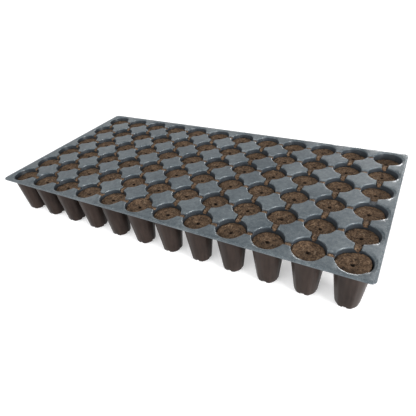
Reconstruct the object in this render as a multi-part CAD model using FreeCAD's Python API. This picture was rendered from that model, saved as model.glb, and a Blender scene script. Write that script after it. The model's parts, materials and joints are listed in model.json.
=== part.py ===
import FreeCAD, Part
import os

os.makedirs("parts", exist_ok=True)

# A 72-cell plug tray, filled with plugs of bonded growing medium. Millimetres. +Z is up, X runs along the
# long side and Y across the tray. The origin is the middle of the footprint, on the surface it stands on.
# The tray is one thermoformed sheet. It is built here as the features that the sheet is formed into, which
# meet face to face: above the split level the deck with its collars and saddles, below it the cups, each
# a tapered wall on a grooved base.

# The layout of the cells: a row is the six cells that lie side by side across the tray
ROW_COUNT = 12
CELLS_PER_ROW = 6
PITCH_X = 44.6
PITCH_Y = 44.6

# The tray
TRAY_HEIGHT = 59.5
END_MARGIN = 24.7  # from the last cell's centre to the short edge
SIDE_MARGIN = 24.7  # from the last cell's centre to the long edge
CORNER_RADIUS = 6.0
DECK_THICKNESS = 1.0
WALL = 0.6
LIP_DROP = 1.5  # the down-turned edge, measured from the deck's top
LIP_THICKNESS = 1.0

# A cell
MOUTH_RADIUS = 18.4
MOUTH_EASE = 0.7  # the rounding of the mouth's edge, as a chamfer
BASE_RADIUS = 12.4  # outside the cup, where it stands
GROOVE_WIDTH = 5.0  # the crossed drain grooves under the cup
GROOVE_DEPTH = 1.8
DRAIN_RADIUS = 4.5

# A saddle is the notch that joins two neighbouring mouths
SADDLE_WIDTH = 7.5
SADDLE_DEPTH = 3.6

# The strip along each edge, which the outer mouths bite into
RIM_BITE = 1.1

# The growing medium
PLUG_CLEARANCE = 0.3
MEDIUM_DROP = 7.0  # from the deck down to the surface of a plug
DIBBLE_RADIUS = 1.75
DIBBLE_DEPTH = 6.0
FILL_DROP = 1.0  # from the deck down to the medium that is caught in a saddle
EMPTY_SADDLE = (ROW_COUNT - 1, CELLS_PER_ROW // 2 - 1)  # the crosswise saddle with no fill: row, place

# What follows from these
LENGTH = (ROW_COUNT - 1) * PITCH_X + 2 * END_MARGIN
WIDTH = (CELLS_PER_ROW - 1) * PITCH_Y + 2 * SIDE_MARGIN
DECK_BOTTOM = TRAY_HEIGHT - DECK_THICKNESS
SADDLE_FLOOR = TRAY_HEIGHT - SADDLE_DEPTH
SPLIT_LEVEL = SADDLE_FLOOR - WALL
COLLAR_RADIUS = MOUTH_RADIUS + WALL
CUP_SLOPE = (COLLAR_RADIUS - BASE_RADIUS) / SPLIT_LEVEL
RIDGE_TOP = GROOVE_DEPTH + WALL
PLUG_TOP = TRAY_HEIGHT - MEDIUM_DROP
CELL_XS = [(i - (ROW_COUNT - 1) / 2) * PITCH_X for i in range(ROW_COUNT)]
CELL_YS = [(j - (CELLS_PER_ROW - 1) / 2) * PITCH_Y for j in range(CELLS_PER_ROW)]
RIM_REACH = MOUTH_RADIUS - RIM_BITE  # from an outer cell's centre to the rim strip
PAST = 1.0  # how far a cutting tool runs past what it cuts


def box(x0, x1, y0, y1, z0, z1):
    return Part.makeBox(x1 - x0, y1 - y0, z1 - z0, FreeCAD.Vector(x0, y0, z0))


def cylinder(radius, z0, z1, x=0.0, y=0.0):
    return Part.makeCylinder(radius, z1 - z0, FreeCAD.Vector(x, y, z0))


def cone(radius0, radius1, z0, z1, x=0.0, y=0.0):
    return Part.makeCone(radius0, radius1, z1 - z0, FreeCAD.Vector(x, y, z0))


def moved(shape, x, y):
    copy = shape.copy()
    copy.translate(FreeCAD.Vector(x, y, 0))
    return copy


def cross(half_width, z0, z1):
    """Two crossed bars, longer than a cup is wide."""
    reach = 2 * COLLAR_RADIUS
    along_x = box(-reach, reach, -half_width, half_width, z0, z1)
    along_y = box(-half_width, half_width, -reach, reach, z0, z1)
    return along_x.fuse(along_y)


def outline(inset, z0, z1):
    """The tray's footprint as a prism, with rounded corners."""
    prism = box(-LENGTH / 2 + inset, LENGTH / 2 - inset, -WIDTH / 2 + inset, WIDTH / 2 - inset, z0, z1)
    upright = [e for e in prism.Edges if abs(e.tangentAt(e.FirstParameter).z) > 0.5]
    return prism.makeFillet(CORNER_RADIUS - inset, upright)


# ---- the deck: every piece is a region of the sheet, cut by the mouths and saddles that it meets ----


def cells_near(x0, x1, y0, y1):
    reach = COLLAR_RADIUS + WALL
    xs = [x for x in CELL_XS if x0 - reach < x < x1 + reach]
    ys = [y for y in CELL_YS if y0 - reach < y < y1 + reach]
    return [(x, y) for x in xs for y in ys]


def saddles_near(x0, x1, y0, y1, half_width, z0, z1):
    """The channels through the saddles near a region: along X between rows, and along Y within one."""
    near_x = [x for x in CELL_XS if x0 - half_width < x < x1 + half_width]
    near_y = [y for y in CELL_YS if y0 - half_width < y < y1 + half_width]
    along_x = [box(CELL_XS[0], CELL_XS[-1], y - half_width, y + half_width, z0, z1) for y in near_y]
    along_y = [box(x - half_width, x + half_width, CELL_YS[0], CELL_YS[-1], z0, z1) for x in near_x]
    return along_x + along_y


def deck_piece(x0, x1, y0, y1):
    """The sheet over one region: the deck, the collars round its mouths and the walls beside its saddles."""
    region = (x0, x1, y0, y1)
    block = box(*region, SPLIT_LEVEL, TRAY_HEIGHT).common(outline(0, SPLIT_LEVEL, TRAY_HEIGHT))
    under = box(x0 - PAST, x1 + PAST, y0 - PAST, y1 + PAST, SPLIT_LEVEL - PAST, DECK_BOTTOM)
    lip_bottom = TRAY_HEIGHT - LIP_DROP
    lip = outline(0, lip_bottom, TRAY_HEIGHT).cut(outline(LIP_THICKNESS, lip_bottom, TRAY_HEIGHT))
    kept = [lip] + [cylinder(COLLAR_RADIUS, SPLIT_LEVEL, TRAY_HEIGHT, *c) for c in cells_near(*region)]
    kept += saddles_near(*region, SADDLE_WIDTH / 2 + WALL, SPLIT_LEVEL, TRAY_HEIGHT)
    low, high = SPLIT_LEVEL - PAST, TRAY_HEIGHT + PAST
    tools = [cylinder(MOUTH_RADIUS, low, high, *c) for c in cells_near(*region)]
    tools += saddles_near(*region, SADDLE_WIDTH / 2, low, high)
    eased = MOUTH_RADIUS + MOUTH_EASE
    ease_bottom = TRAY_HEIGHT - MOUTH_EASE
    tools += [cone(MOUTH_RADIUS, eased, ease_bottom, TRAY_HEIGHT, *c) for c in cells_near(*region)]
    return block.cut([under.cut(kept)]).cut(tools)


def repeated(piece, x_steps, y_steps):
    return [moved(piece, i * PITCH_X, j * PITCH_Y) for i in range(x_steps) for j in range(y_steps)]


def islands():
    """The diamonds of deck between four mouths."""
    first = deck_piece(CELL_XS[0], CELL_XS[1], CELL_YS[0], CELL_YS[1])
    return repeated(first, ROW_COUNT - 1, CELLS_PER_ROW - 1)


def edge_islands(front):
    """The half diamonds between two mouths and the strip along a long edge."""
    y0, y1 = (CELL_YS[0] - RIM_REACH, CELL_YS[0]) if front else (CELL_YS[-1], CELL_YS[-1] + RIM_REACH)
    return repeated(deck_piece(CELL_XS[0], CELL_XS[1], y0, y1), ROW_COUNT - 1, 1)


def end_islands(left):
    """The half diamonds between two mouths and the strip along a short edge."""
    x0, x1 = (CELL_XS[0] - RIM_REACH, CELL_XS[0]) if left else (CELL_XS[-1], CELL_XS[-1] + RIM_REACH)
    return repeated(deck_piece(x0, x1, CELL_YS[0], CELL_YS[1]), 1, CELLS_PER_ROW - 1)


def corner_islands():
    """The curved triangles between a corner mouth and its two strips."""
    spans_x = [(CELL_XS[0] - RIM_REACH, CELL_XS[0]), (CELL_XS[-1], CELL_XS[-1] + RIM_REACH)]
    spans_y = [(CELL_YS[0] - RIM_REACH, CELL_YS[0]), (CELL_YS[-1], CELL_YS[-1] + RIM_REACH)]
    return [deck_piece(*x, *y) for x in spans_x for y in spans_y]


def rim(side):
    """The strip of deck along one edge, with its down-turned lip. The long strips hold the corners."""
    inner_x, inner_y = CELL_XS[-1] + RIM_REACH, CELL_YS[-1] + RIM_REACH
    spans = {
        "front": (-LENGTH / 2, LENGTH / 2, -WIDTH / 2, -inner_y),
        "back": (-LENGTH / 2, LENGTH / 2, inner_y, WIDTH / 2),
        "left": (-LENGTH / 2, -inner_x, -inner_y, inner_y),
        "right": (inner_x, LENGTH / 2, -inner_y, inner_y),
    }
    return [deck_piece(*spans[side])]


# ---- the saddles, and the medium that is caught in them ----


def in_saddles(z0, z1, along_x):
    """A flat block in each saddle of one direction, from mouth to mouth."""
    half_length = (PITCH_X if along_x else PITCH_Y) / 2 - MOUTH_RADIUS
    half_width = SADDLE_WIDTH / 2
    if along_x:
        first = box(-half_length, half_length, -half_width, half_width, z0, z1)
        places = [(x + PITCH_X / 2, y) for x in CELL_XS[:-1] for y in CELL_YS]
    else:
        first = box(-half_width, half_width, -half_length, half_length, z0, z1)
        places = [(x, y + PITCH_Y / 2) for x in CELL_XS for y in CELL_YS[:-1]]
    return [moved(first, x, y) for x, y in places]


def saddle_floors(along_x):
    return in_saddles(SPLIT_LEVEL, SADDLE_FLOOR, along_x)


def saddle_fill(along_x):
    blocks = in_saddles(SADDLE_FLOOR, TRAY_HEIGHT - FILL_DROP, along_x)
    if not along_x:
        row, place = EMPTY_SADDLE
        del blocks[row * (CELLS_PER_ROW - 1) + place]
    return blocks


# ---- the cups and the plugs ----


def inner_radius(z):
    """Inside a cup's wall at a height."""
    return BASE_RADIUS + CUP_SLOPE * z - WALL


def cup_wall():
    """The tapered wall of a cup, from its base up to the deck's collar."""
    outside = cone(BASE_RADIUS + CUP_SLOPE * RIDGE_TOP, COLLAR_RADIUS, RIDGE_TOP, SPLIT_LEVEL)
    low, high = RIDGE_TOP - PAST, SPLIT_LEVEL + PAST
    return outside.cut(cone(inner_radius(low), inner_radius(high), low, high))


def cup_base():
    """The foot of a cup: a base with crossed drain grooves pressed up into it, and a drain hole."""
    block = cone(BASE_RADIUS, BASE_RADIUS + CUP_SLOPE * RIDGE_TOP, 0, RIDGE_TOP)
    above = RIDGE_TOP + PAST
    lobes = cone(inner_radius(WALL), inner_radius(above), WALL, above)
    lobes = lobes.cut(cross(GROOVE_WIDTH / 2 + WALL, 0, above))
    drain = cylinder(DRAIN_RADIUS, -PAST, above)
    return block.cut([cross(GROOVE_WIDTH / 2, -PAST, GROOVE_DEPTH), lobes, drain])


def plug():
    """The medium that fills a cup, standing on the ridge over the grooves, with a dibbled hole in its top."""
    bottom = RIDGE_TOP + PLUG_CLEARANCE
    foot, head = inner_radius(bottom) - PLUG_CLEARANCE, inner_radius(PLUG_TOP) - PLUG_CLEARANCE
    hole = cylinder(DIBBLE_RADIUS, PLUG_TOP - DIBBLE_DEPTH, PLUG_TOP + PAST)
    return cone(foot, head, bottom, PLUG_TOP).cut(hole)


def row_of(shape, row):
    return [moved(shape, CELL_XS[row], y) for y in CELL_YS]


def write(node, solids):
    Part.makeCompound(solids).exportStep(f"parts/{node}.step")


write("deck_islands", islands())
write("front_edge_islands", edge_islands(front=True))
write("back_edge_islands", edge_islands(front=False))
write("left_end_islands", end_islands(left=True))
write("right_end_islands", end_islands(left=False))
write("corner_islands", corner_islands())
for side in ("front", "back", "left", "right"):
    write(f"{side}_rim", rim(side))
write("lengthwise_saddles", saddle_floors(along_x=True))
write("crosswise_saddles", saddle_floors(along_x=False))
write("lengthwise_saddle_fill", saddle_fill(along_x=True))
write("crosswise_saddle_fill", saddle_fill(along_x=False))
one_wall, one_base, one_plug = cup_wall(), cup_base(), plug()
write("cup_bases", [base for row in range(ROW_COUNT) for base in row_of(one_base, row)])
for row in range(ROW_COUNT):
    write(f"cup_row_{row + 1:02d}", row_of(one_wall, row))
    write(f"plug_row_{row + 1:02d}", row_of(one_plug, row))
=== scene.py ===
import json
import math
import random

import bmesh
import bpy
from mathutils import Matrix, Vector, noise

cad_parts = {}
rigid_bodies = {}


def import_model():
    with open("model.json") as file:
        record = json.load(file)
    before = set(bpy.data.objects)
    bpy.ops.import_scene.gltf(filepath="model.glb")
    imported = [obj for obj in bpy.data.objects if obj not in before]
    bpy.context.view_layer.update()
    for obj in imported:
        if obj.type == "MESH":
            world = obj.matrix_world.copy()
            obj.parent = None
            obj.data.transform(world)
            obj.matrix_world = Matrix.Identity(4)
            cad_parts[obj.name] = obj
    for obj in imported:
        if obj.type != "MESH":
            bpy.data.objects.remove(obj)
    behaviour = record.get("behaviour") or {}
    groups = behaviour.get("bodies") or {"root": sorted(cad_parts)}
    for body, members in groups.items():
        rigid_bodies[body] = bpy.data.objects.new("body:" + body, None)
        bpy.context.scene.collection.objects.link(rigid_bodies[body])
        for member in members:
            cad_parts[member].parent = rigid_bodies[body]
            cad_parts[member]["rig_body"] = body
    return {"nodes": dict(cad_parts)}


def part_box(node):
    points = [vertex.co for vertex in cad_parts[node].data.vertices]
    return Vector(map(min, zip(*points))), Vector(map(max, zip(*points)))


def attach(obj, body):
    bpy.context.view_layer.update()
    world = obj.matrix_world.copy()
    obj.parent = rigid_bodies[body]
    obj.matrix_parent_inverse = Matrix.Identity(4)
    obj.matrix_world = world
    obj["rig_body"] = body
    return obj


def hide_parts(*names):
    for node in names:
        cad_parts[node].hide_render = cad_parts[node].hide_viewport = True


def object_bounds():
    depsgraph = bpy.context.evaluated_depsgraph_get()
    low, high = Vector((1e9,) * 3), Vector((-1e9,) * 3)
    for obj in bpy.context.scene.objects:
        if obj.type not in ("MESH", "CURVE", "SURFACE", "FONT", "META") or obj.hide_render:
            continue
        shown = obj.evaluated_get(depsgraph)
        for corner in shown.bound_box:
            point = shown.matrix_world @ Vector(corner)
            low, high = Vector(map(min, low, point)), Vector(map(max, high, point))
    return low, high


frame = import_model()
cad_low, cad_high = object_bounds()

# ---- sizes, in metres ----

MM = 0.001
ROW_COUNT = 12
CELLS_PER_ROW = 6
PITCH = 44.6 * MM
HALF = PITCH / 2
LENGTH = cad_high[0] - cad_low[0]
WIDTH = cad_high[1] - cad_low[1]
DECK = cad_high[2]
CORNER_RADIUS = 6.0 * MM
SHEET = 0.6 * MM
MOUTH_RADIUS = 18.4 * MM
LIP_ROUNDING = 1.05 * MM
# Where a mouth has no neighbour its lip is broader: how wide, how deep and how far the wall below it flares,
# by the side, which is numbered in quarter turns
RIGHT, BACK, LEFT, FRONT = range(4)
OUTER_LIPS = {
    RIGHT: (2.7 * MM, 1.6 * MM, 0.9 * MM),
    BACK: (2.6 * MM, 1.5 * MM, 0.6 * MM),
    LEFT: (1.8 * MM, 1.5 * MM, 0.2 * MM),
    FRONT: (2.3 * MM, 1.5 * MM, 0.3 * MM),
}
OUTER_LIP_SPREAD = math.radians(22), math.radians(56)  # between these angles from its side it narrows
OUTER_LIP_STEP = 0.3 * MM  # the small step where an outer lip starts
SADDLE_DEPTH = 3.6 * MM
SADDLE_WIDTH = 7.5 * MM
SADDLE_EASE = 0.75 * MM  # half the width over which a saddle's side rises
COLLAR_BOTTOM = DECK - SADDLE_DEPTH - SHEET
WALL_TOP = COLLAR_BOTTOM - 2 * MM  # the saddles and broader lips end above this level
BASE_RADIUS = 12.4 * MM
CUP_SLOPE = (MOUTH_RADIUS + SHEET - BASE_RADIUS) / COLLAR_BOTTOM
FOOT_ROUNDING = 3.0 * MM
GROOVE_WIDTH = 5.0 * MM
GROOVE_DEPTH = 1.8 * MM
GROOVE_EASE = 0.6 * MM
FLUTE_COUNT = 6  # faint and upright, they stiffen each cup's wall
FLUTE_HEIGHT = 0.45 * MM
FLUTE_HALF_ANGLE = math.radians(12)
FLUTE_FADE = 9.0 * MM
RIM_FALL = 0.55 * MM  # how much lower the deck is at its edges
RIM_FALL_WIDTH = 8.0 * MM
RIM_FALL_CURVE = 1.6
RIM_FALL_MOST = 1.1  # times that width, at the corners
TURNED_EDGE_DEPTH = 1.5 * MM
DRAIN_RADIUS = 4.5 * MM
BASE_RING_RADII = (7.6 * MM, 6.4 * MM, 5.3 * MM, DRAIN_RADIUS)
MEDIUM_DROP = 7.0 * MM
PLUG_GAP = 0.3 * MM
PLUG_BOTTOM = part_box("plug_row_01")[0].z
PLUG_SPOKES = 84
PLUG_TILT = 0.025
LUMP_HEIGHT = 1.0 * MM
GRAIN_DEPTH = 0.4 * MM  # on a plug's side
DIBBLE_RADIUS = 2.1 * MM
DIBBLE_DEPTH = 6.0 * MM
RIPPLE_LENGTH = 0.5 * MM  # of the faint rings that the dibbler leaves, over 2 pi
# Plugs that aren't like the others, by row and place: how far they have sunk, how high they are heaped,
# and the angle of the heaped side in degrees
EVEN_PLUG = (0.0, 0.0, 0)
UNEVEN_PLUGS = {
    (3, 2): (0.0, 1.4 * MM, 300),
    (5, 0): (0.0, 2.2 * MM, 125),
    (7, 4): (0.8 * MM, 1.0 * MM, 250),
    (9, 2): (0.0, 1.2 * MM, 60),
    (10, 0): (0.0, 1.6 * MM, 150),
    (10, 5): (0.4 * MM, 1.5 * MM, 140),
    (11, 0): (0.2 * MM, 4.2 * MM, 25),
    (11, 5): (2.6 * MM, 0.8 * MM, 200),
}
EMPTY_SADDLE = (ROW_COUNT - 1, CELLS_PER_ROW // 2 - 1)

ROW_XS = [(i - (ROW_COUNT - 1) / 2) * PITCH for i in range(ROW_COUNT)]
CELL_YS = [(j - (CELLS_PER_ROW - 1) / 2) * PITCH for j in range(CELLS_PER_ROW)]
TRAY_NODES = [n for n, o in frame["nodes"].items() if o["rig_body"] == "tray" and "fill" not in n]


def smooth_step(low, high, x):
    t = min(max((x - low) / (high - low), 0.0), 1.0)
    return t * t * (3 - 2 * t)


def mix(a, b, t):
    return a + (b - a) * t


# ---- shader maths ----


class Socket:
    """A socket whose operators add Math nodes."""

    def __init__(self, tree, link):
        self.tree, self.link = tree, link

    def math(self, operation, other):
        return add_node(self.tree, "ShaderNodeMath", {"operation": operation}, {0: self, 1: other})

    def __add__(self, other):
        return self.math("ADD", other)

    def __sub__(self, other):
        return self.math("SUBTRACT", other)

    def __rsub__(self, other):
        return self * -1.0 + other

    def __mul__(self, other):
        return self.math("MULTIPLY", other)

    __radd__ = __add__
    __rmul__ = __mul__

    def between(self, low, high):
        """0 below low, 1 above high and smooth in between."""
        settings = {"interpolation_type": "SMOOTHSTEP"}
        inputs = {"Value": self, "From Min": low, "From Max": high}
        return add_node(self.tree, "ShaderNodeMapRange", settings, inputs)


def add_node(tree, kind, settings=None, inputs=None, output=0):
    """Makes a node, with its settings first and then the values or links of its sockets."""
    node = tree.nodes.new(kind)
    for name, value in (settings or {}).items():
        if name == "stops":
            ramp = node.color_ramp
            while len(ramp.elements) < len(value):
                ramp.elements.new(0.5)
            for element, (position, colour) in zip(ramp.elements, value):
                element.position, element.color = position, (*colour, 1)
        else:
            setattr(node, name, value)
    for name, value in (inputs or {}).items():
        if isinstance(value, Socket):
            tree.links.new(value.link, node.inputs[name])
        elif node.inputs[name].type == "RGBA":
            node.inputs[name].default_value = (*value, 1)
        else:
            node.inputs[name].default_value = value
    return Socket(tree, node.outputs[output])


class Material:
    """A Principled material and the patterns that are laid over a piece by its Object coordinates."""

    def __init__(self, name, **fixed):
        self.material = bpy.data.materials.new(name)
        self.material.use_nodes = True
        self.tree = self.material.node_tree
        self.shader = self.tree.nodes["Principled BSDF"]
        for socket, value in fixed.items():
            self.shader.inputs[socket.replace("_", " ")].default_value = value
        self.place = self.add("ShaderNodeTexCoord", output="Object")

    def add(self, kind, settings=None, inputs=None, output=0):
        return add_node(self.tree, kind, settings, inputs, output)

    def noise(self, per_metre, detail=3.0, roughness=0.55, stretch=None):
        place = self.place
        if stretch:
            place = self.add("ShaderNodeMapping", None, {"Vector": place, "Scale": stretch})
        inputs = {"Vector": place, "Scale": per_metre, "Detail": detail, "Roughness": roughness}
        return self.add("ShaderNodeTexNoise", None, inputs)

    def colours(self, value, *stops):
        return self.add("ShaderNodeValToRGB", {"stops": stops}, {0: value})

    def blend(self, factor, first, second):
        """A colour between two others. A Mix node's colours are its inputs 6 and 7 and its output 2."""
        return self.add("ShaderNodeMix", {"data_type": "RGBA"}, {0: factor, 6: first, 7: second}, output=2)

    def height(self):
        return self.add("ShaderNodeSeparateXYZ", None, {0: self.place}, output=2)

    def link(self, name, value):
        self.tree.links.new(value.link, self.shader.inputs[name])

    def finish(self, colour, roughness, bump, bump_size):
        normal = self.add("ShaderNodeBump", None, {"Height": bump, "Distance": bump_size, "Strength": 1.0})
        for name, value in (("Base Color", colour), ("Roughness", roughness), ("Normal", normal)):
            self.link(name, value)
        return self.material


def tray_plastic():
    """The upper side of the formed sheet: near-black satin plastic, mottled, with dust on the deck. The deck
    is painted lighter than the walls as painted light, and the walls are painted darker as painted shade.
    """
    m = Material("formed_plastic", Specular_IOR_Level=0.45)
    z = m.height()
    on_deck = z.between(DECK - 2.6 * MM, DECK - 0.6 * MM)
    high = z.between(DECK - 9 * MM, DECK - 3 * MM)
    cloudy = m.noise(14, 4)
    smudge = m.noise(70, 3)
    mottle = m.noise(230, 4, 0.65)
    fine = m.noise(620, 3)
    tone = cloudy * 0.35 + mottle * 0.4 + fine * 0.25
    greys = [(0.40, (0.044, 0.057, 0.066)), (0.50, (0.075, 0.091, 0.101)), (0.60, (0.118, 0.137, 0.146))]
    deck = m.colours(tone, *greys)
    # painted shade: the walls of the mouths are painted much darker than the deck of the same sheet, and a
    # little darker and greyer low down
    wall = m.blend(high, (0.023, 0.025, 0.027), (0.023, 0.029, 0.036))
    # painted light: the deck's lighter greys stand for the light falling on it, over the walls' painted shade
    colour = m.blend(on_deck, wall, deck)
    specks = m.noise(1100, 2).between(0.60, 0.74) * smudge.between(0.42, 0.66)
    colour = m.blend(specks * on_deck * 0.5, colour, (0.17, 0.15, 0.13))
    drawn = z.between(DECK - 1.7 * MM, DECK - 1.1 * MM) * (1 - z.between(DECK - 0.4 * MM, DECK - 0.01 * MM))
    roughness = (cloudy * 0.12 + smudge * 0.08 + fine * 0.12 + 0.19) * (1 - drawn * 0.25)
    return m.finish(colour, roughness, fine * 0.5 + mottle * 0.4 + smudge * 0.4, 0.00010)


def underside_plastic():
    """The sheet's lower side, which the cups show: satin brown-black, with faint marks of the draw."""
    m = Material("formed_plastic_underside", Specular_IOR_Level=0.08)
    cloudy = m.noise(30, 4)
    drawn = m.noise(260, 3, stretch=(1.0, 1.0, 0.08))
    tone = cloudy * 0.55 + drawn * 0.45
    colour = m.colours(tone, (0.35, (0.013, 0.0088, 0.0074)), (0.65, (0.028, 0.0193, 0.0162)))
    roughness = drawn * 0.14 + cloudy * 0.12 + 0.22
    return m.finish(colour, roughness, drawn, 0.00005)


def growing_medium(name, paleness):
    """Bonded peat and coir: brown, matt, with paler fibres and dark pores, and painted shade down the dibbled
    holes.
    """
    m = Material(name, Specular_IOR_Level=0.25)
    coarse = m.noise(170, 4, 0.65)
    grain = m.noise(520, 4, 0.75)
    strands = m.noise(480, 2, 0.5, stretch=(1.0, 0.3, 0.6))
    tone = coarse * 0.35 + grain * 0.65
    browns = [(0.36, (0.010, 0.006, 0.004)), (0.44, (0.060, 0.037, 0.022)), (0.52, (0.128, 0.078, 0.046)),
              (0.59, (0.205, 0.130, 0.077)), (0.72, (0.36, 0.25, 0.16))]
    colour = m.colours(tone, *((at, tuple(c * paleness for c in brown)) for at, brown in browns))
    colour = m.blend(strands.between(0.61, 0.70) * 0.4, colour, (0.33, 0.24, 0.16))
    # painted shade: the dibbled hole is painted near-black, from a vertex attribute
    pit = m.add("ShaderNodeAttribute", {"attribute_name": "pit"}, output=2)
    colour = m.blend(pit * 0.85, colour, (0.006, 0.004, 0.003))
    roughness = grain * 0.15 + 0.8
    return m.finish(colour, roughness, tone + strands * 0.15, 0.0016)


# ---- the tray: the same cell, drawn out ring by ring from its square of deck down to its drain hole ----

SPOKES = 96  # round a cell; an eighth of them from the middle of a saddle to the corner of its island
SADDLE_EDGE = math.asin(SADDLE_WIDTH / 2 / MOUTH_RADIUS)
QUARTER_TURN = math.pi / 2
EIGHTH_TURN = math.pi / 4
BUNCHING = 3.0
FAN_FROM = 0.33  # the share of an eighth turn past which the spokes on the deck fan out to the corner


def nearest_axis(angle):
    """(quarter turns to the nearest saddle or outer side, the angle from it)."""
    quarter = round(angle / QUARTER_TURN)
    return quarter, angle - quarter * QUARTER_TURN


def bunched(angle):
    """Turns even angles into ones that stand closer together at the sides of the saddles."""
    quarter, a = nearest_axis(angle)
    share = abs(a) / EIGHTH_TURN
    ratio = SADDLE_EDGE / (EIGHTH_TURN - SADDLE_EDGE)
    # halving finds the place where the spokes are closest, so that 0 stays at 0 and 1 at 1
    low, high = 0.0, 1.0
    for _ in range(40):
        middle = (low + high) / 2
        if math.sinh(BUNCHING * middle) < ratio * math.sinh(BUNCHING * (1 - middle)):
            low = middle
        else:
            high = middle
    scale = SADDLE_EDGE / math.sinh(BUNCHING * low)
    turned = SADDLE_EDGE + scale * math.sinh(BUNCHING * (share - low))
    return quarter * QUARTER_TURN + math.copysign(turned, a)


def on_spoke(radius, angle, z):
    """The x, y and z of a point at this radius and angle from a cell's middle."""
    return radius * math.cos(angle), radius * math.sin(angle), z


def turned_back(quarter, along, across):
    """The x and y of a point that is given along and across the axis at so many quarter turns."""
    c, s = ((1, 0), (0, 1), (-1, 0), (0, -1))[quarter % 4]
    return c * along - s * across, s * along + c * across


def saddle_drop(across):
    """How far the sheet dips at this distance from a saddle's middle line."""
    edge = SADDLE_WIDTH / 2
    return SADDLE_DEPTH * (1 - smooth_step(edge - SADDLE_EASE, edge + SADDLE_EASE, abs(across)))


def inner_radius(z):
    """Inside the wall of a collar or cup."""
    return min(MOUTH_RADIUS, BASE_RADIUS + CUP_SLOPE * z - SHEET)


def lip_size(angle, open_sides):
    """(width, depth) of the rounding from the deck into the mouth, and the flare of the wall below it."""
    width, depth, flare = LIP_ROUNDING, LIP_ROUNDING, 0.0
    for side in open_sides:
        apart = abs(math.remainder(angle - side * QUARTER_TURN, 2 * math.pi))
        share = 1 - smooth_step(*OUTER_LIP_SPREAD, apart)
        wide, deep, out = OUTER_LIPS[side]
        width = max(width, mix(LIP_ROUNDING, wide, share))
        depth = max(depth, mix(LIP_ROUNDING, deep, share))
        flare = max(flare, out * share)
    return width, depth, flare


def deck_point(share, open_sides):
    """A ring on the deck: share 0 is the cell's square border and 1 the start of the lip's rounding."""

    def place(angle):
        quarter, a = nearest_axis(angle)
        width, _, flare = lip_size(angle, open_sides)
        edge = MOUTH_RADIUS + width + flare
        at_mouth = MOUTH_RADIUS * math.sin(a)
        fan = smooth_step(FAN_FROM, 1.0, abs(a) / EIGHTH_TURN)
        border = at_mouth + math.copysign((HALF - MOUTH_RADIUS * math.sin(EIGHTH_TURN)) * fan, a)
        along = mix(HALF, edge * math.cos(a), share)
        across = mix(border, edge * math.sin(a), share)
        drop = 0.0 if quarter % 4 in open_sides else saddle_drop(mix(border, at_mouth, share))
        x, y = turned_back(quarter, along, across)
        return x, y, DECK - drop

    return place


def lip_height(angle, open_sides):
    """The level of the deck or saddle where the lip's rounding starts."""
    quarter, a = nearest_axis(angle)
    return DECK - (0.0 if quarter % 4 in open_sides else saddle_drop(MOUTH_RADIUS * math.sin(a)))


def lip_point(bend, open_sides):
    """A ring on the rounding from the deck into the mouth, at so much bend."""

    def place(angle):
        width, depth, flare = lip_size(angle, open_sides)
        radius = MOUTH_RADIUS + flare + width * (1 - math.sin(bend))
        step = OUTER_LIP_STEP * smooth_step(LIP_ROUNDING, 2.2 * LIP_ROUNDING, width)
        z = lip_height(angle, open_sides) - step - (depth - step) * (1 - math.cos(bend))
        return on_spoke(radius, angle, z)

    return place


def collar_point(share, open_sides):
    """A ring between the lip and the top of the cup's wall."""

    def place(angle):
        _, depth, flare = lip_size(angle, open_sides)
        z = mix(lip_height(angle, open_sides) - depth, WALL_TOP, share)
        return on_spoke(inner_radius(z) + flare * (1 - share), angle, z)

    return place


def in_groove(across):
    """1 over a drain groove and 0 beside it."""
    edge = GROOVE_WIDTH / 2
    return 1 - smooth_step(edge - GROOVE_EASE, edge + GROOVE_EASE, abs(across))


def groove_lift(angle):
    """How far the foot's edge is lifted where a groove comes out."""
    a = nearest_axis(angle)[1]
    return GROOVE_DEPTH * in_groove(inner_radius(SHEET + FOOT_ROUNDING) * math.sin(a))


def flute(angle, z):
    """How far the wall stands out at a flute; it fades out towards the collar."""
    apart = min(abs(math.remainder(angle, 2 * math.pi / FLUTE_COUNT)) / FLUTE_HALF_ANGLE, 1.0)
    fade = 1 - smooth_step(COLLAR_BOTTOM - FLUTE_FADE, COLLAR_BOTTOM, z)
    return FLUTE_HEIGHT * (0.5 + 0.5 * math.cos(math.pi * apart)) * fade


def wall_point(share):
    """A ring on the tapered wall, at so much of the way down to the rounding of the cup's foot."""

    def place(angle):
        z = mix(WALL_TOP, SHEET + FOOT_ROUNDING + groove_lift(angle), share)
        return on_spoke(inner_radius(z) + flute(angle, z), angle, z)

    return place


def foot_point(bend):
    """A ring on the rounding of the cup's foot, at so much bend."""

    def place(angle):
        bottom = SHEET + FOOT_ROUNDING + groove_lift(angle)
        radius = inner_radius(bottom) + flute(angle, bottom) - FOOT_ROUNDING * (1 - math.cos(bend))
        return on_spoke(radius, angle, bottom - FOOT_ROUNDING * math.sin(bend))

    return place


def base_point(radius):
    """A ring on the cup's base."""

    def place(angle):
        across = radius * math.sin(nearest_axis(angle)[1])
        return on_spoke(radius, angle, SHEET + GROOVE_DEPTH * in_groove(across))

    return place


def cell_rings(open_sides):
    """The places of a cell's rings, from its border on the deck down to the edge of its drain hole."""
    rings = [deck_point(share, open_sides) for share in (0.0, 0.5, 1.0)]
    rings += [lip_point(math.radians(bend), open_sides) for bend in (9, 26, 42, 58, 74, 90)]
    rings += [collar_point(share, open_sides) for share in (0.5, 1.0)]
    rings += [wall_point(share) for share in (0.2, 0.45, 0.7, 0.88, 1.0)]
    rings += [foot_point(math.radians(bend)) for bend in (22.5, 45, 67.5, 90)]
    rings += [base_point(radius) for radius in BASE_RING_RADII]
    return rings


def edges_at(verts):
    """The edges at some vertices, each once and always in the same order."""
    return list(dict.fromkeys(e for v in verts for e in v.link_edges))


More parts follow.
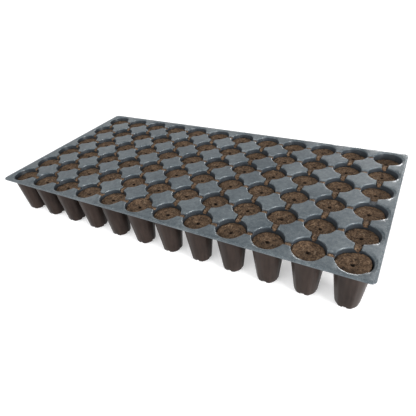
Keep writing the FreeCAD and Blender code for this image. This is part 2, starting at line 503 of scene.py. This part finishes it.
def extruded(bm, edges):
    """Extrudes a loop of edges where it stands. Returns (the new loop's vertices, its edges)."""
    made = bmesh.ops.extrude_edge_only(bm, edges=edges)["geom"]
    verts = [g for g in made if isinstance(g, bmesh.types.BMVert)]
    fresh = set(verts)
    return verts, [g for g in made if isinstance(g, bmesh.types.BMEdge) and set(g.verts) <= fresh]


def cell_sheet(bm, x, y, open_sides):
    """One cell of the tray. open_sides are the sides that have no neighbour."""
    spoke = bm.verts.layers.float["spoke"]
    verts = bmesh.ops.create_circle(bm, segments=SPOKES, radius=HALF)["verts"]
    edges = edges_at(verts)
    for v in verts:
        v[spoke] = bunched(math.atan2(v.co.y, v.co.x))
    for number, place in enumerate(cell_rings(open_sides)):
        if number:
            verts, edges = extruded(bm, edges)
        for v in verts:
            px, py, pz = place(v[spoke])
            v.co = (x + px, y + py, pz)


def object_from(bm, name, *materials, sharp_degrees=40):
    """Makes a piece from a finished mesh, smooth but for edges that are sharper than sharp_degrees."""
    mesh = bpy.data.meshes.new(name)
    bm.to_mesh(mesh)
    bm.free()
    mesh.shade_smooth()
    mesh.set_sharp_from_angle(angle=math.radians(sharp_degrees))
    if "spoke" in mesh.attributes:
        mesh.attributes.remove(mesh.attributes["spoke"])
    for material in materials:
        mesh.materials.append(material)
    piece = bpy.data.objects.new(name, mesh)
    bpy.context.scene.collection.objects.link(piece)
    return piece


def fall_to_the_edges(bm):
    """Lets the deck slope down a little towards the tray's edges, but for the left end, which lies flat."""
    core_x, core_y = LENGTH / 2 - RIM_FALL_WIDTH, WIDTH / 2 - RIM_FALL_WIDTH
    for v in bm.verts:
        out = math.hypot(max(v.co.x - core_x, 0), max(abs(v.co.y) - core_y, 0)) / RIM_FALL_WIDTH
        near_deck = smooth_step(DECK - 12 * MM, DECK - 3 * MM, v.co.z)
        v.co.z -= RIM_FALL * min(out, RIM_FALL_MOST) ** RIM_FALL_CURVE * near_deck


def thickened(bm, thickness):
    """Gives a sheet its thickness on the side away from its normals, with the second material there."""
    upper = set(bm.verts)
    bmesh.ops.solidify(bm, geom=bm.faces[:] + bm.edges[:] + bm.verts[:], thickness=thickness)
    for f in bm.faces:
        f.material_index = 0 if any(v in upper for v in f.verts) else 1
    bmesh.ops.recalc_face_normals(bm, faces=bm.faces)


def upward(bm):
    """Turns a sheet's faces so that the deck looks up."""
    bmesh.ops.remove_doubles(bm, verts=bm.verts, dist=0.00001)
    bmesh.ops.recalc_face_normals(bm, faces=bm.faces)
    bm.faces.ensure_lookup_table()
    highest = max(bm.faces, key=lambda f: f.calc_center_median().z)
    if highest.normal.z < 0:
        bmesh.ops.reverse_faces(bm, faces=bm.faces)


def tray_row(row, *materials):
    bm = bmesh.new()
    bm.verts.layers.float.new("spoke")
    for j, y in enumerate(CELL_YS):
        outermost = {RIGHT: row == ROW_COUNT - 1, BACK: j == CELLS_PER_ROW - 1, LEFT: row == 0, FRONT: j == 0}
        cell_sheet(bm, ROW_XS[row], y, {side for side, is_open in outermost.items() if is_open})
    upward(bm)
    fall_to_the_edges(bm)
    thickened(bm, SHEET)
    return object_from(bm, f"tray_row_{row + 1:02d}", *materials)


def tray_rim(*materials):
    """The band outside the outer cells: a step down, a rounded edge and a short down-turned lip."""
    core_x, core_y = LENGTH / 2 - CORNER_RADIUS, WIDTH / 2 - CORNER_RADIUS
    inner_x, inner_y = ROW_COUNT * HALF, CELLS_PER_ROW * HALF
    edge_round, step = 0.35 * MM, 0.25 * MM
    # each point: how far in from the outside, and its height from the deck
    profile = [(1.9 * MM, 0.0), (1.7 * MM, -0.06 * MM), (1.5 * MM, -0.29 * MM), (1.3 * MM, -step)]
    for bend in (0, 30, 60, 90):
        b = math.radians(bend)
        profile.append((edge_round * (1 - math.sin(b)), -step - edge_round * (1 - math.cos(b))))
    profile.append((0.0, -TURNED_EDGE_DEPTH))

    bm = bmesh.new()
    bmesh.ops.create_grid(bm, x_segments=1, y_segments=1, size=1.0)
    for v in bm.verts:
        v.co.x = math.copysign(core_x + CORNER_RADIUS, v.co.x)
        v.co.y = math.copysign(core_y + CORNER_RADIUS, v.co.y)
    bmesh.ops.bevel(bm, geom=bm.verts[:], offset=CORNER_RADIUS, segments=10, profile=0.5, affect="VERTICES",
                    material=-1)
    bmesh.ops.delete(bm, geom=bm.faces[:], context="FACES_ONLY")

    def placed(verts, inset, drop):
        for v in verts:
            core = Vector((min(max(v.co.x, -core_x), core_x), min(max(v.co.y, -core_y), core_y), 0))
            out = Vector((v.co.x, v.co.y, 0)) - core
            v.co = core + out.normalized() * (CORNER_RADIUS - inset)
            v.co.z = DECK + drop

    verts, edges = bm.verts[:], bm.edges[:]
    placed(verts, *profile[0])
    first = edges
    for inset, drop in profile[1:]:
        verts, edges = extruded(bm, edges)
        placed(verts, inset, drop)
    verts, _ = extruded(bm, first)
    for v in verts:
        v.co.x = min(max(v.co.x, -inner_x), inner_x)
        v.co.y = min(max(v.co.y, -inner_y), inner_y)
    upward(bm)
    fall_to_the_edges(bm)
    thickened(bm, SHEET)
    return object_from(bm, "tray_rim", *materials)


# ---- the plugs ----


def roughness_at(point, seed):
    """Lumps and grains of the medium at a point, from about -1 to 1."""
    p = Vector(point) * 1000 + Vector((seed * 17.0, seed * 5.0, 0))
    return 0.55 * noise.noise(p * 0.13) + 0.35 * noise.noise(p * 0.4) + 0.25 * noise.noise(p * 0.95)


def plug_rings(top_radius, foot_radius, top):
    """(radius, z, how much the surface is roughened) from the bottom of the dibbled hole to the foot."""
    rings = [
        (0.5 * DIBBLE_RADIUS, top - DIBBLE_DEPTH, 0.0),
        (0.8 * DIBBLE_RADIUS, top - 0.6 * DIBBLE_DEPTH, 0.0),
        (0.95 * DIBBLE_RADIUS, top - 0.9 * MM, 0.2),
        (1.3 * DIBBLE_RADIUS, top - 0.1 * MM, 0.5),
    ]
    steps = 15
    for k in range(1, steps + 1):
        share = k / steps
        rings.append((mix(1.3 * DIBBLE_RADIUS, top_radius - 0.7 * MM, share), top, 1.0))
    rings += [(top_radius - 0.2 * MM, top - 0.4 * MM, 0.8), (top_radius, top - 1.2 * MM, 0.4)]
    for share in (0.1, 0.22, 0.34, 0.46, 0.58, 0.7, 0.82, 0.94):
        rings.append((mix(top_radius, foot_radius, share), mix(top - 1.2 * MM, PLUG_BOTTOM, share), 0.3))
    rings += [(foot_radius, PLUG_BOTTOM + 0.6 * MM, 0.1), (foot_radius - 0.8 * MM, PLUG_BOTTOM, 0.0)]
    return rings


def plug(bm, x, y, seed, choose, uneven):
    """One plug, with a tilted, lumpy top and its hole off centre, and shrunk from the wall on one side."""
    sunk, heaped, heaped_at = uneven
    heap = Vector((math.cos(math.radians(heaped_at)), math.sin(math.radians(heaped_at)), 0))
    top = DECK - MEDIUM_DROP + choose.uniform(-0.5, 0.5) * MM - sunk
    top_radius = inner_radius(top) - PLUG_GAP / 2
    foot_radius = inner_radius(PLUG_BOTTOM) - PLUG_GAP
    tilt = Vector((choose.uniform(-1, 1), choose.uniform(-1, 1), 0)) * PLUG_TILT
    hole = Vector((choose.uniform(-0.6, 0.6), choose.uniform(-0.6, 0.6), 0)) * MM
    shrunk_to, shrunk_by = math.radians(choose.gauss(10, 40)), choose.uniform(0.3, 1.3) * MM
    ripple = choose.uniform(0.0, 0.14) * MM
    verts = bmesh.ops.create_circle(bm, segments=PLUG_SPOKES, radius=DIBBLE_RADIUS)["verts"]
    edges = edges_at(verts)
    spoke, pit = bm.verts.layers.float["spoke"], bm.verts.layers.float["pit"]
    for v in verts:
        v[spoke] = math.atan2(v.co.y, v.co.x)
    bm.faces.new(verts)
    centre = Vector((x, y, 0))
    for number, (radius, z, rough) in enumerate(plug_rings(top_radius, foot_radius, top)):
        if number:
            verts, edges = extruded(bm, edges)
        in_pit = z > top - DIBBLE_DEPTH - MM
        # painted shade down the dibbled hole, stored for the medium's material
        hole_shade = 1 - smooth_step(0.9 * DIBBLE_RADIUS, 1.35 * DIBBLE_RADIUS, radius) if in_pit else 0
        edge_share = smooth_step(0.6, 1.0, radius / top_radius)
        off_centre = hole * (1 - smooth_step(DIBBLE_RADIUS, 6 * MM, radius))
        wave = ripple * math.sin(radius / RIPPLE_LENGTH) * (1 - smooth_step(5 * MM, 13 * MM, radius))
        for v in verts:
            v[pit] = hole_shade
            out = Vector((math.cos(v[spoke]), math.sin(v[spoke]), 0))
            apart = math.remainder(v[spoke] - shrunk_to, 2 * math.pi)
            crescent = shrunk_by * math.exp(-(apart / 0.75) ** 2) * edge_share
            at = centre + out * (radius - crescent) + off_centre
            lump = roughness_at((at.x, at.y, z), seed)
            if rough >= 0.5:
                raised = heaped * smooth_step(0.25, 1.0, heap.dot(out) * radius / top_radius) + wave
                v.co = at + Vector((0, 0, z + tilt.dot(out * radius) + raised + LUMP_HEIGHT * rough * lump))
            else:
                v.co = at - out * (GRAIN_DEPTH * rough * (1 + lump)) + Vector((0, 0, z))
    bm.faces.new(verts)


def plug_row(row, material):
    bm = bmesh.new()
    bm.verts.layers.float.new("spoke")
    # the layer for the painted shade in the dibbled holes
    bm.verts.layers.float.new("pit")
    choose = random.Random(100 + row)
    for j, y in enumerate(CELL_YS):
        plug(bm, ROW_XS[row], y, row * CELLS_PER_ROW + j, choose, UNEVEN_PLUGS.get((row, j), EVEN_PLUG))
    bmesh.ops.recalc_face_normals(bm, faces=bm.faces)
    return object_from(bm, f"medium_row_{row + 1:02d}", material, sharp_degrees=80)


# ---- the medium that is caught in the saddles ----


def crumb(bm, centre, size, seed, detail):
    """A rounded, uneven lump."""
    for v in bmesh.ops.create_icosphere(bm, subdivisions=detail, radius=1.0)["verts"]:
        n = v.co.normalized()
        bulge = 0.34 * noise.noise(n * 1.6 + Vector((seed, 0, 0)))
        bulge += 0.30 * noise.noise(n * 3.9 + Vector((0, seed, 0)))
        boxy = Vector([math.copysign(abs(c) ** 0.75, c) for c in n])
        v.co = centre + Vector((boxy.x * size[0], boxy.y * size[1], boxy.z * size[2])) * (1 + bulge)


def saddle_medium(along_x, material):
    """The crumbs in one direction's saddles. The crosswise ones hold more, and some hangs over the front."""
    bm = bmesh.new()
    choose = random.Random(7 if along_x else 8)
    reach = HALF - MOUTH_RADIUS
    floor = DECK - SADDLE_DEPTH
    turn = Matrix.Rotation(0 if along_x else math.pi / 2, 3, "Z")
    if along_x:
        places = [(x + HALF, y) for x in ROW_XS[:-1] for y in CELL_YS]
    else:
        places = [(x, y + HALF) for i, x in enumerate(ROW_XS) for j, y in enumerate(CELL_YS[:-1])
                  if (i, j) != EMPTY_SADDLE]
    for number, (x, y) in enumerate(places):
        middle = Vector((x, y, floor))
        # each lump: how far along the saddle, across it and up, its three half sizes, and how fine it is
        if along_x:
            tall = choose.uniform(0.8, 1.15) * MM
            lumps = [(0, 0, tall * 0.8, reach * choose.uniform(0.8, 1.05), 2.7 * MM, tall, 3)]
            spread, count, largest = reach * 0.8, 2, 1.0
        else:
            tall = choose.uniform(1.1, 1.45) * MM
            heap_length, heap_width = reach * choose.uniform(0.95, 1.25), choose.uniform(2.7, 3.6) * MM
            lumps = [(0.4 * MM, 0, tall * 0.85, heap_length, heap_width, tall, 3)]
            hung_at, hung_width = choose.uniform(-1.0, 1.0) * MM, choose.uniform(1.5, 3.1) * MM
            hung_height = choose.uniform(1.0, 2.3) * MM
            lumps.append((-reach * 1.02, hung_at, -0.3 * MM, 1.1 * MM, hung_width, hung_height, 3))
            spread, count, largest = reach, 7, 1.2
        for _ in range(count):
            size = choose.uniform(0.6, largest) * MM
            lumps.append((choose.uniform(-spread, spread), choose.uniform(-2.6, 2.6) * MM,
                          choose.uniform(0.4, 1.0) * tall, size * 1.2, size, size * 0.8, 2))
        for part, (along, across, up, *size, detail) in enumerate(lumps):
            centre = middle + turn @ Vector((along, across, up))
            size = size if along_x else (size[1], size[0], size[2])
            crumb(bm, centre, size, number * 1.37 + part * 5.1, detail)
    bmesh.ops.recalc_face_normals(bm, faces=bm.faces)
    name = "medium_in_lengthwise_saddles" if along_x else "medium_in_crosswise_saddles"
    return object_from(bm, name, material, sharp_degrees=80)


# ---- the stage ----

# Each soft light's name, place, width, height and glow
SOFTBOXES = (
    ("back_strip", (0.4, 1.9, 0.20), 1.2, 0.26, 18.0),
    ("front_left_box", (-1.3, -2.2, 1.5), 3.2, 2.1, 3.4),
    ("back_right_box", (0.42, 1.5, 1.65), 0.6, 0.6, 4.0),
    ("right_box", (1.85, -0.6, 0.38), 0.75, 0.6, 45.0),
)


def softbox(name, place, width, height, glow):
    """A soft light that faces the middle of the tray, with the same glow all over its face."""
    light = bpy.data.lights.new(name, "AREA")
    light.shape = "RECTANGLE"
    light.size, light.size_y, light.energy = width, height, glow * math.pi * width * height
    lamp = bpy.data.objects.new(name, light)
    lamp.location = place
    lamp.rotation_euler = Vector(place).to_track_quat("Z", "Y").to_euler()
    bpy.context.scene.collection.objects.link(lamp)


def studio():
    """A white floor that glows more away from the tray, a pale room and the soft lights."""
    floor_bm = bmesh.new()
    bmesh.ops.create_grid(floor_bm, x_segments=1, y_segments=1, size=60.0)
    paper = Material("studio_paper", Emission_Strength=1.0)
    away = paper.add("ShaderNodeVectorMath", {"operation": "LENGTH"}, {0: paper.place}, output=1)
    glow = paper.colours(away.between(0.4, 2.0), (0.0, (0.46, 0.46, 0.46)), (1.0, (0.9, 0.9, 0.9)))
    paper.link("Emission Color", glow)
    tone = paper.colours(paper.noise(2.0), (0.0, (0.69, 0.69, 0.69)), (1.0, (0.71, 0.71, 0.71)))
    surface = paper.finish(tone, paper.noise(3.0) * 0.05 + 0.9, paper.noise(300), 0.00001)
    floor = object_from(floor_bm, "floor", surface)
    world = bpy.data.worlds.new("studio")
    bpy.context.scene.world = world
    world.use_nodes = True
    tree = world.node_tree
    # The room is white round the horizon and darker overhead
    direction = add_node(tree, "ShaderNodeTexCoord", output="Generated")
    height = add_node(tree, "ShaderNodeSeparateXYZ", None, {0: direction}, output=2)
    whites = {"stops": [(0.33, (1.0, 1.0, 1.0)), (0.60, (0.38, 0.40, 0.42))]}
    sky = add_node(tree, "ShaderNodeValToRGB", whites, {0: height})
    tree.links.new(sky.link, tree.nodes["Background"].inputs["Color"])
    for box in SOFTBOXES:
        softbox(*box)
    bpy.context.scene.view_settings.view_transform = "Standard"


# The camera stands off the tray's front right corner, a little rolled
CAMERA_AZIMUTH = math.radians(32.67)
CAMERA_ELEVATION = math.radians(34.62)
CAMERA_ROLL = math.radians(6.244)
CAMERA_AIM = Vector((1.526 * PITCH, -1.965 * PITCH, DECK))
CAMERA_DISTANCE = 10.24 * PITCH
CAMERA_LENS = 31.97  # in millimetres, as the sensor's width
CAMERA_SENSOR = 36.0


def camera():
    back = Vector((
        math.sin(CAMERA_AZIMUTH) * math.cos(CAMERA_ELEVATION),
        -math.cos(CAMERA_AZIMUTH) * math.cos(CAMERA_ELEVATION),
        math.sin(CAMERA_ELEVATION),
    ))
    level = Vector((math.cos(CAMERA_AZIMUTH), math.sin(CAMERA_AZIMUTH), 0))
    right = Matrix.Rotation(-CAMERA_ROLL, 3, back) @ level
    up = back.cross(right)
    data = bpy.data.cameras.new("camera")
    data.lens, data.sensor_width = CAMERA_LENS, CAMERA_SENSOR
    data.clip_start = 0.01
    piece = bpy.data.objects.new("camera", data)
    turn = Matrix((right, up, back)).transposed().to_4x4()
    piece.matrix_world = Matrix.Translation(CAMERA_AIM + back * CAMERA_DISTANCE) @ turn
    bpy.context.scene.collection.objects.link(piece)
    bpy.context.scene.camera = piece


# ---- everything put together ----

studio()
camera()
plastic, underside = tray_plastic(), underside_plastic()
medium = growing_medium("peat_and_coir", 1.0)
crumbs = growing_medium("loose_crumbs", 1.05)

rim = tray_rim(plastic, underside)
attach(rim, "tray")
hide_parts(*(n for n in TRAY_NODES if not n.startswith("cup_row")))
for row in range(ROW_COUNT):
    sheet_row = tray_row(row, plastic, underside)
    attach(sheet_row, "tray")
    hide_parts(f"cup_row_{row + 1:02d}")
    medium_row = plug_row(row, medium)
    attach(medium_row, f"plugs_{row + 1:02d}")
    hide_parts(f"plug_row_{row + 1:02d}")
for lengthwise in (True, False):
    caught = saddle_medium(lengthwise, medium if lengthwise else crumbs)
    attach(caught, "tray")
    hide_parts(f"{'lengthwise' if lengthwise else 'crosswise'}_saddle_fill")
